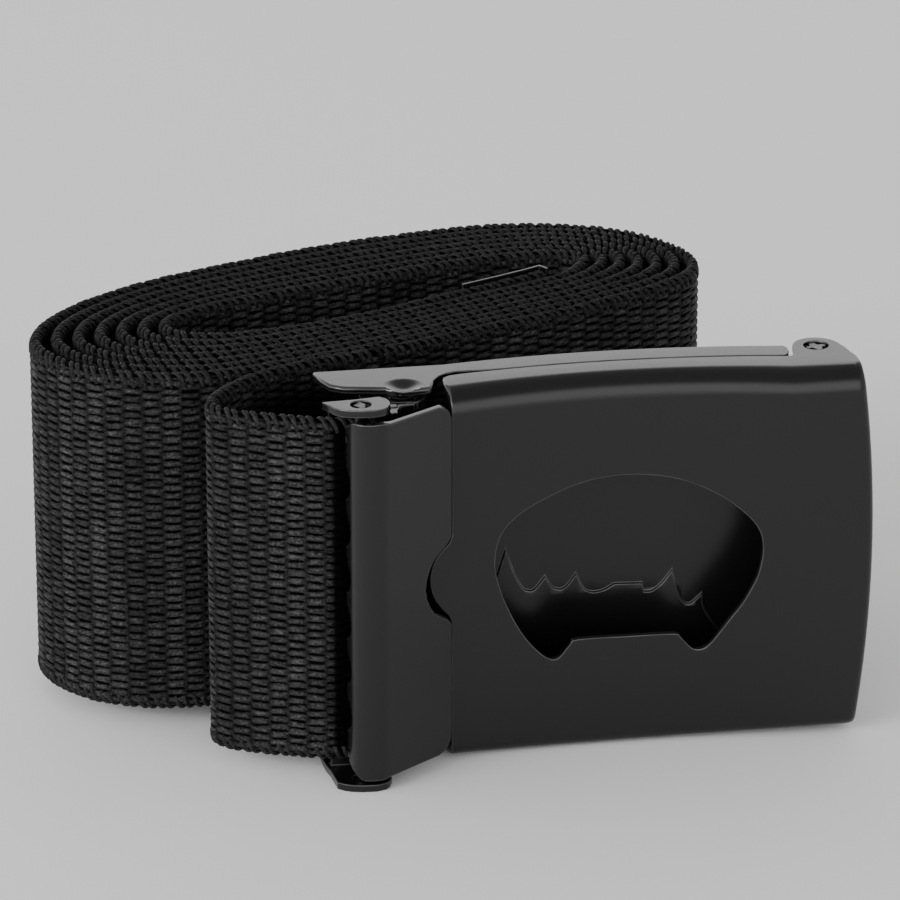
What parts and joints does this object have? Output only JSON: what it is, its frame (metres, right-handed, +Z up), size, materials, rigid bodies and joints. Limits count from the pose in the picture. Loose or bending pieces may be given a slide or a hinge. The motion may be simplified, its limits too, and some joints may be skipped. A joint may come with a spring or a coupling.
{
  "type": "web belt with clamp buckle",
  "caption": "Rolled webbing belt standing on edge, with a flip-top clamp buckle, cam lever at the fixed end, bottle-opener hole in the cover and a metal strap tip.",
  "frame": {"origin": "centre of the bounding box's bottom face, on the surface the rolled belt stands on", "axes": "+X along the buckle to its right, -Y out of the buckle's front, +Z up across the webbing's width"},
  "size_m": [0.0902, 0.0666, 0.0445],
  "materials": {
    "webbing": "matt woven, slight sheen",
    "black_enamel": "satin black",
    "pin_steel": "darkened steel"
  },
  "bodies": {
    "belt": {"strap": "webbing", "strap_tip": "black_enamel", "clamp_body": "black_enamel", "clamp_pin": "pin_steel"},
    "buckle_base": {"base_frame": "black_enamel", "cover_pin": "pin_steel"},
    "cover": {"cover_plate": "black_enamel"},
    "lever": {"clamp_lever": "black_enamel"}
  },
  "joints": [
    {"name": "buckle_swing", "type": "hinge", "parent": "belt", "child": "buckle_base", "pos_m": [-0.00706, -0.02283, 0.02225], "axis": [0, 0, 1], "range_deg": [0, 15]},
    {"name": "cover_flip", "type": "hinge", "parent": "buckle_base", "child": "cover", "pos_m": [0.03994, -0.01783, 0.02225], "axis": [0, 0, 1], "range_deg": [0, 110]},
    {"name": "lever_cam", "type": "hinge", "parent": "belt", "child": "lever", "pos_m": [-0.01276, -0.03063, 0.02225], "axis": [0, 0, 1], "range_deg": [-90, 0]}
  ]
}
